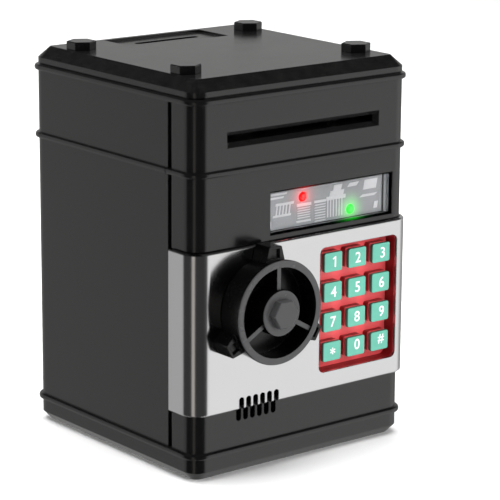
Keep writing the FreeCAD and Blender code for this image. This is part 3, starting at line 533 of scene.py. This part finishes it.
looks = {
    "black_plastic": finish("cabinet_black", shade(0.0030, 0.0030, 0.0031), 0.20, shade(0.03, 0.03, 0.031),
                            0.5, spread=0.05, grain=900.0, depth=0.010, radius=0.0005, dust=0.02),
    # The wheel's black, with painted light on its forward faces and painted shade elsewhere.
    "dial_plastic": finish("wheel_black_painted_shade", WHEEL_BLACK_LIT_AND_SHADED, 0.27, shade(0.04, 0.04, 0.04), 0.5,
                           grain=2600.0, depth=0.02, radius=0.0006, specular=0.36, dust=0.0),
    "dial_grey": finish("wheel_boss", shade(0.040, 0.040, 0.042), 0.30, shade(0.06, 0.06, 0.06), 0.5,
                        grain=2600.0, depth=0.03, radius=0.0005),
    "bolt_black": finish("bolt_black", shade(0.003, 0.003, 0.003), 0.18, shade(0.04, 0.04, 0.04), 0.4,
                         radius=0.0005, specular=0.4, dust=0.0),
    "silver": finish("silver_paint", shade(0.55, 0.55, 0.558), 0.17, shade(0.62, 0.62, 0.62), 0.2,
                     metallic=1.0, cloud=0.02, spread=0.03, grain=5200.0, depth=0.010, radius=0.0006,
                     dust=0.0),
    # The red tray, with painted shade on its walls.
    "red": finish("tray_red_painted_shade", TRAY_RED_LIT_AND_SHADED, 0.38, shade(0.85, 0.2, 0.2), 0.2, cloud=0.05, grain=2200.0,
                  depth=0.02, radius=0.0003, dust=0.02),
    # The mint keys, with painted shade on their sides.
    "mint": finish("key_mint_painted_shade", KEY_MINT_LIT_AND_SHADED, 0.42, shade(0.35, 0.8, 0.62), 0.4, cloud=0.05, grain=2600.0,
                   depth=0.02, radius=0.0004, dust=0.02),
    "steel": finish("plain_steel", shade(0.55, 0.55, 0.56), 0.30, shade(0.8, 0.8, 0.8), 0.4, metallic=1.0,
                    brush=(300.0, 6000.0, 6000.0), depth=0.03),
    "rubber": finish("feed_rubber", shade(0.02, 0.02, 0.02), 0.75, shade(0.06, 0.06, 0.06), 0.4,
                     grain=3000.0, depth=0.10, dust=0.15),
    "white_nylon": finish("white_nylon", shade(0.72, 0.72, 0.68), 0.45, shade(0.8, 0.8, 0.78), 0.2,
                          depth=0.02),
    "speaker_black": finish("speaker_paper", shade(0.03, 0.03, 0.03), 0.8, shade(0.08, 0.08, 0.08), 0.3,
                            grain=4200.0, depth=0.15),
    "board": finish("board_green", board_pattern, 0.45, shade(0.8, 0.8, 0.78), 0.2, depth=0.02),
    "cell": finish("cell_jacket", jacket_pattern, 0.18, shade(0.04, 0.04, 0.04), 0.4, radius=0.0005,
                   specular=0.4, dust=0.0),
}


# %% [markdown]
# ## Lamps that glow and the card that catches their light
# Each lamp is a tinted dome lit from inside, so its colour is emitted. Close to a lamp, what is behind it
# takes on the lamp's colour, and that fades as a bell curve of the distance.

# %% Lamps
def middle(node):
    """Middle of a node's box."""
    low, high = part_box(node)
    return (low + high) / 2


LAMP_GLOW = {"red_led": (1.0, 0.0, 0.0), "green_led": (0.02, 1.0, 0.03)}
HEART_REACH, HEART_SHARE = (0.0005, 0.0028), (1.0, 0.72)
lamp_centre = {name: (middle(name).x, middle(name).z) for name in LAMP_GLOW}


def distance_from(tree, centre):
    """Distance from a point of the part, across X and Z only."""
    vector = add_node(tree, "ShaderNodeTexCoord").outputs["Object"]
    flatten = add_node(tree, "ShaderNodeVectorMath", {1: (1.0, 0.0, 1.0)}, operation="MULTIPLY")
    tree.links.new(vector, flatten.inputs[0])
    gap = add_node(tree, "ShaderNodeVectorMath", {1: (centre[0], 0.0, centre[1])}, operation="DISTANCE")
    tree.links.new(flatten.outputs[0], gap.inputs[0])
    return gap.outputs["Value"]


def scaled_glow(tree, name, share):
    """A lamp's light, times share."""
    tint = add_node(tree, "ShaderNodeVectorMath", {0: LAMP_GLOW[name]}, operation="SCALE")
    tree.links.new(share, tint.inputs["Scale"])
    return tint.outputs[0]


def emit(material, light, strength):
    """Let a material give off light of the colour that a socket carries."""
    shader = material.node_tree.nodes["Principled BSDF"]
    material.node_tree.links.new(light, shader.inputs["Emission Color"])
    shader.inputs["Emission Strength"].default_value = strength
    return material


def lamp_finish(name, colour, strength):
    """A glowing dome: a little brighter in its middle, where the chip sits."""
    material = finish(name, colour, 0.25, cloud=0.02, dust=0.0, wear=0.0)
    tree = material.node_tree
    heart = map_range(tree, distance_from(tree, lamp_centre[name]), *HEART_REACH, *HEART_SHARE)
    return emit(material, scaled_glow(tree, name, heart), strength)


looks["red_lamp"] = lamp_finish("red_led", shade(0.8, 0.01, 0.01), 3.2)
looks["green_lamp"] = lamp_finish("green_led", shade(0.02, 0.8, 0.03), 2.4)
print("lamps at:", {name: [round(c / MM, 1) for c in spot] for name, spot in lamp_centre.items()})

# %% [markdown]
# ## The card behind the window, and the window itself
# The lamps stand in front of a grey card with a pale print, and both catch the lamps' light. The clear panel
# is a thin glass whose gloss is a little uneven, as a moulded window's is.

# %% Card and lens
HALO_REACH, HALO_STRENGTH = 0.0048, 0.62


def add_halo(material):
    """Light of both lamps caught by a surface: exp(-(d / reach)^2) of each lamp's colour."""
    tree = material.node_tree
    both = add_node(tree, "ShaderNodeVectorMath", operation="ADD")
    for index, (name, centre) in enumerate(lamp_centre.items()):
        ratio = math_node(tree, "DIVIDE", distance_from(tree, centre), HALO_REACH)
        square = math_node(tree, "POWER", ratio, 2.0)
        bell = math_node(tree, "EXPONENT", math_node(tree, "MULTIPLY", square, -1.0))
        tree.links.new(scaled_glow(tree, name, bell), both.inputs[index])
    return emit(material, both.outputs[0], HALO_STRENGTH)


looks["card"] = add_halo(finish("window_card_grey", shade(0.21, 0.215, 0.225), 0.5, cloud=0.7, dust=0.0,
                                wear=0.0))
print_white = add_halo(finish("window_print_white", shade(0.44, 0.44, 0.46), 0.5, cloud=0.5, dust=0.0,
                              wear=0.0))


def lens_finish():
    """Clear plastic: light goes almost straight through, and noise makes the gloss a little uneven."""
    material = bpy.data.materials.new("window_clear")
    material.use_nodes = True
    tree = material.node_tree
    clear = tree.nodes["Principled BSDF"]
    clear.inputs["Base Color"].default_value = shade(1.0, 1.0, 1.0)
    clear.inputs["Transmission Weight"].default_value = 1.0
    clear.inputs["IOR"].default_value = 1.03
    vector = add_node(tree, "ShaderNodeTexCoord").outputs["Object"]
    rough = map_range(tree, noise(tree, vector, 120.0, 3.0), 0.3, 0.8, 0.01, 0.06)
    tree.links.new(rough, clear.inputs["Roughness"])
    return material


looks["lens"] = lens_finish()

# %% [markdown]
# ## Hand each finish to its parts
# The frame's record says which material slot each part belongs to. The mesh of a part isn't touched: only
# its list of materials is filled.

# %% Dress the parts
for name, part in nodes.items():
    part.data.materials.clear()
    part.data.materials.append(looks[slot_of[name]])
print("finishes:", len(looks))

# %% [markdown]
# ## Digits on the keys
# The digits are printed in white, a hair above the cap. A text curve gives their outline; it is made a mesh
# and stood upright, because text lies flat when it is new. The one is drawn as an outline of its own and the
# nine is a six turned over, because the built-in font's are plain or come out torn when they are thickened.
# Each mark has a small shift of its own, since the print doesn't sit dead centre on the caps.

# %% Print the keys
INK = finish("key_print_white", shade(0.86, 0.88, 0.86), 0.45, cloud=0.03, dust=0.0, wear=0.0, radius=0.00005)
DIGIT_HEIGHT = 5.1
SIGN_HEIGHT = {"star": 3.4, "hash": 4.6}
PRINT_THICK, PRINT_SINK = 0.00006, 0.000005
INK_SPREAD, CURVE_DEPTH = 0.010, 0.01
SIGNS = {"star": "*", "hash": "#", "9": "6"}
TURNED = {"9"}
# Shift of each mark from the middle of its cap, across and up, in millimetres.
KEY_MARKS = {"1": (0.5, 0.0), "2": (0.3, 0.0), "3": (0.9, 0.0), "4": (0.3, 0.0), "5": (0.3, 0.1),
             "6": (0.6, 0.0), "7": (0.3, 0.0), "8": (0.3, 0.1), "9": (0.9, 0.1), "star": (0.3, 0.1),
             "0": (0.6, 0.8), "hash": (0.8, 0.8)}
ONE = [(0.0, 0.0), (0.0, 0.72), (-0.16, 0.62), (-0.20, 0.73), (0.03, 0.88), (0.15, 0.88), (0.15, 0.0)]


def mesh_points(mesh):
    """A mesh's vertices as an array (n, 3)."""
    flat = np.empty(len(mesh.vertices) * 3)
    mesh.vertices.foreach_get("co", flat)
    return flat.reshape(-1, 3)


def move_points(mesh, points):
    """Put an array (n, 3) back into the mesh."""
    mesh.vertices.foreach_set("co", points.ravel())
    mesh.update()


def printed_mark(text, height, spot):
    """The outline of a character as a thin upright slab, centred on spot, height mm tall."""
    curve = bpy.data.curves.new("mark", "FONT")
    curve.body = text
    curve.offset = INK_SPREAD
    curve.extrude = CURVE_DEPTH
    holder = bpy.data.objects.new("mark", curve)
    scene.collection.objects.link(holder)
    bpy.context.view_layer.update()
    mesh = bpy.data.meshes.new_from_object(holder.evaluated_get(bpy.context.evaluated_depsgraph_get()))
    bpy.data.objects.remove(holder)
    flat = mesh_points(mesh)
    low, high = flat.min(0), flat.max(0)
    size = height * MM / (high[1] - low[1])
    centre = (low + high) / 2
    upright = np.column_stack([
        spot[0] + (flat[:, 0] - centre[0]) * size,
        spot[1] - (flat[:, 2] - low[2]) / (high[2] - low[2]) * PRINT_THICK,
        spot[2] + (flat[:, 1] - centre[1]) * size])
    move_points(mesh, upright)
    return mesh


def drawn_mark(outline, height, spot):
    """A character drawn as one outline, as a thin upright slab centred on spot."""
    flat = np.asarray(outline, float)
    size = height * MM / np.ptp(flat[:, 1])
    flat = (flat - (flat.min(0) + flat.max(0)) / 2) * size + [spot[0], spot[2]]
    points, faces = slab(flat, spot[1] - PRINT_THICK, spot[1])
    mesh = bpy.data.meshes.new("mark")
    mesh.from_pydata(points.tolist(), [], [list(map(int, face)) for face in faces])
    return mesh


def half_turn(mesh, spot):
    """The same mark upside down: x and z are mirrored through spot, which turns a six into a nine."""
    place = mesh_points(mesh)
    place[:, 0] = 2 * spot[0] - place[:, 0]
    place[:, 2] = 2 * spot[2] - place[:, 2]
    move_points(mesh, place)


for key, (shift_x, shift_z) in KEY_MARKS.items():
    cap = middle("key_" + key)
    cap_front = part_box("key_" + key)[0].y
    spot = (cap.x + shift_x * MM, cap_front + PRINT_SINK, cap.z + shift_z * MM)
    if key == "1":
        mesh = drawn_mark(ONE, DIGIT_HEIGHT, spot)
    else:
        mesh = printed_mark(SIGNS.get(key, key), SIGN_HEIGHT.get(key, DIGIT_HEIGHT), spot)
    if key in TURNED:
        half_turn(mesh, spot)
    mark = bpy.data.objects.new("print_key_" + key, mesh)
    scene.collection.objects.link(mark)
    mesh.materials.clear()
    mesh.materials.append(INK)
    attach(mark, "key_" + key)
print("marks:", len(KEY_MARKS))

# %% [markdown]
# ## The picture behind the window
# The card carries a pale print of simple blocks: a row of columns under a beam, house fronts with bars, and
# slanting lines. It is a set of thin shapes standing on the card, all in one mesh.

# %% Print the window picture
CARD_THICK, PICTURE_RISE, PICTURE_SINK, PICTURE_SHIFT = 0.0008, 0.00012, 0.00001, -1.9
card_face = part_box("window_card")[1].y - CARD_THICK


def bars(x0, x1, z0, z1, count, share, lean=0.0):
    """Upright bars side by side between x0 and x1; lean moves their tops along X. Millimetres."""
    pitch = (x1 - x0) / count
    left = x0 + pitch * np.arange(count)
    wide = pitch * share
    return [[(a, z0), (a + lean, z1), (a + wide + lean, z1), (a + wide, z0)] for a in left]


def rows(x0, x1, z0, z1, count, share, lean=0.0):
    """Level strips above each other between z0 and z1. Millimetres."""
    pitch = (z1 - z0) / count
    low = z0 + pitch * np.arange(count)
    return [[(x0, a), (x0 + lean, a + pitch * share), (x1 + lean, a + pitch * share), (x1, a)] for a in low]


def block(x0, x1, z0, z1, lean=0.0):
    """One leaning block. Millimetres."""
    return [[(x0, z0), (x0 + lean, z1), (x1 + lean, z1), (x1, z0)]]


picture = (block(-14.0, -3.4, 115.8, 116.8, 0.3) + bars(-12.4, -3.0, 116.8, 121.0, 5, 0.45, 0.6)
           + block(-12.6, -1.8, 121.0, 122.2, 0.4) + block(0.0, 8.6, 111.6, 112.5)
           + rows(0.4, 8.0, 113.4, 119.0, 5, 0.45, 0.4) + block(0.2, 8.8, 119.0, 120.4)
           + rows(10.8, 17.2, 110.6, 119.4, 7, 0.42, 0.3) + block(10.6, 17.6, 119.4, 120.6)
           + bars(18.4, 28.6, 111.6, 119.6, 6, 0.42) + block(17.8, 29.4, 119.6, 121.4)
           + block(19.6, 28.0, 121.4, 123.8, 0.6) + block(21.6, 26.6, 123.8, 126.4, 0.8)
           + block(38.0, 47.0, 118.4, 119.6, 2.0) + block(40.0, 48.0, 121.8, 126.4, 1.0)
           + block(30.4, 36.0, 124.4, 126.2, 1.6) + block(-16.0, -8.0, 124.4, 125.2, 0.6)
           + block(-15.4, -6.0, 126.0, 126.9, 0.6) + block(-15.8, -14.8, 111.0, 114.4)
           + block(46.6, 49.0, 112.2, 115.4, 0.6))
outlines = (np.array(picture) + [PICTURE_SHIFT, 0.0]) * MM
points, faces = many_slabs(outlines, card_face - PICTURE_RISE, card_face + PICTURE_SINK)
add_piece("window_picture", points, faces, "cabinet", print_white, smooth=False)
print("shapes in the picture:", len(picture))

# %% [markdown]
# ## The line round the picture
# The clear panel sits in a shallow pocket. A thin black line stands just inside its right and lower
# edges, and it is made as two narrow slabs.

# %% Line round the picture
LINE = finish("window_line_black", shade(0.004, 0.004, 0.005), 0.3, cloud=0.02, dust=0.0, wear=0.0)
LINE_LEFT, LINE_RIGHT, LINE_LOW, LINE_TOP = -17.5, 50.5, 110.2, 127.8
LINE_FRONT, LINE_BACK = 0.0004, 0.0002
lines = [block(LINE_RIGHT - 0.5, LINE_RIGHT + 0.3, LINE_LOW - 0.3, LINE_TOP)[0],
         block(LINE_LEFT, LINE_RIGHT, LINE_LOW - 0.5, LINE_LOW)[0]]
points, faces = many_slabs(np.array(lines) * MM, card_face - LINE_FRONT, card_face - LINE_BACK)
add_piece("window_line", points, faces, "cabinet", LINE, smooth=False)

# %% [markdown]
# ## The lock pin's spring
# A coil spring is a tube carried along a helix. This one stretches between the lock pin's collar and the
# magnet, and it isn't attached to either body.

# %% Coil the lock spring
WIRE, TURNS, STEPS_PER_TURN, STEPS_AROUND = 0.00022, 7, 28, 9


def helix_tube(start_x, end_x, centre, coil_radius, wire, turns):
    """Tube along a helix about X. Path: (x0 + (x1 - x0) t, R cos(2 pi n t), R sin(2 pi n t)); the ends are
    closed by shrinking the wire's radius to nothing."""
    t = np.linspace(0.0, 1.0, turns * STEPS_PER_TURN)
    a = 2 * math.pi * turns * t
    run_x = start_x + (end_x - start_x) * t
    path = np.stack([run_x, coil_radius * np.cos(a), coil_radius * np.sin(a)], axis=1)
    tangent = np.gradient(path, axis=0)
    tangent /= np.linalg.norm(tangent, axis=1, keepdims=True)
    outward = np.stack([np.zeros_like(a), np.cos(a), np.sin(a)], axis=1)
    side = np.cross(tangent, outward)
    swell = np.minimum(1.0, np.minimum(t, 1 - t) * 60)[:, None, None]
    b = 2 * math.pi * np.arange(STEPS_AROUND) / STEPS_AROUND
    ring = outward[:, None, :] * np.cos(b)[None, :, None] + side[:, None, :] * np.sin(b)[None, :, None]
    grid = path[:, None, :] + np.array(centre)[None, None, :] + ring * wire * swell
    return grid.reshape(-1, 3), grid_faces(len(t), STEPS_AROUND, wrap_columns=True)[:, ::-1]


low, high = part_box("plunger_spring")
axis = middle("plunger_spring")
points, faces = helix_tube(low.x, high.x, (0, axis.y, axis.z), (high.z - low.z) / 2 - WIRE, WIRE, TURNS)
spring = add_object("lock_spring", points, faces, looks["steel"])
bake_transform(spring)
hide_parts("plunger_spring")
print("points in the spring:", len(points))

# %% [markdown]
# ## The feed rollers
# Each shaft carries two rubber rollers that grip the note. Real ones have fine ribs along their length, so
# the radius is a wave of the angle, with rounded shoulders and a bore for the shaft.

# %% Rib the rollers
ROLLER_WIDTH, ROLLER_BORE = 0.020, 0.002
SHOULDER, SHOULDER_MID, GROOVE, STEPS_PER_RIB = 0.0006, 0.0002, 0.00035, 8


def ribbed_roller(x0, x1, centre, radius, ribs):
    """Roller about X: outer radius r - d (1 - cos(ribs a)) / 2, rounded shoulders, and a bore."""
    a = 2 * math.pi * np.arange(ribs * STEPS_PER_RIB) / (ribs * STEPS_PER_RIB)
    profile = [(x0, ROLLER_BORE), (x0, radius - SHOULDER), (x0 + SHOULDER_MID, radius - SHOULDER_MID),
               (x0 + SHOULDER, radius), (x1 - SHOULDER, radius), (x1 - SHOULDER_MID, radius - SHOULDER_MID),
               (x1, radius - SHOULDER), (x1, ROLLER_BORE)]
    x, r = np.array(profile).T
    groove = GROOVE * (1 - np.cos(ribs * a)) / 2
    radial = r[:, None] - groove[None, :] * (r[:, None] > radius - SHOULDER / 2)
    grid = along_x(radial, np.broadcast_to(a, radial.shape), np.broadcast_to(x[:, None], radial.shape))
    grid = grid + np.array([0, centre[0], centre[1]])
    return grid.reshape(-1, 3), grid_faces(len(x), len(a), wrap_rows=True, wrap_columns=True)


for node, body, ribs in (("feed_rollers", "feed", 30), ("pinch_rollers", "pinch", 26)):
    low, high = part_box(node)
    axis = (middle(node).y, middle(node).z)
    for side, start_x in (("left", low.x), ("right", high.x - ROLLER_WIDTH)):
        points, faces = ribbed_roller(start_x, start_x + ROLLER_WIDTH, axis, (high.z - low.z) / 2, ribs)
        roller = add_piece(node + "_" + side, points, faces, body, looks["rubber"])
        if side == "left":
            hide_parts(node)
    print("ribs on", node + ":", ribs)

# %% [markdown]
# ## The table
# A wide pale sheet stands for the table and runs up behind as a backdrop: a flat run, a quarter of a circle
# and an upright run. It is hidden from mirror rays, because a bright floor would show in the glossy walls.

# %% Lay the floor
FLOOR_HALF, FLOOR_FRONT, FLOOR_BACK, FLOOR_TOP, FLOOR_DROP = 3.0, -2.5, 1.2, 2.5, 0.0001
BEND, BEND_STEPS = 0.6, 40
floor_look = finish("table_white", shade(0.93, 0.93, 0.93), 0.6, cloud=0.01, dust=0.0, wear=0.0, depth=0.005)
t = np.linspace(0, 1, BEND_STEPS) * math.pi / 2
run_y = np.concatenate([[FLOOR_FRONT], FLOOR_BACK + BEND * np.sin(t), [FLOOR_BACK + BEND]])
run_z = np.concatenate([[0.0], BEND * (1 - np.cos(t)), [FLOOR_TOP]])
u, v = np.meshgrid(np.array([-FLOOR_HALF, FLOOR_HALF]), np.arange(len(run_y)))
points = np.stack([u, run_y[v], run_z[v] - FLOOR_DROP], axis=-1).reshape(-1, 3)
table = add_object("table", points, grid_faces(len(run_y), 2)[:, ::-1], floor_look)
table.visible_glossy = False
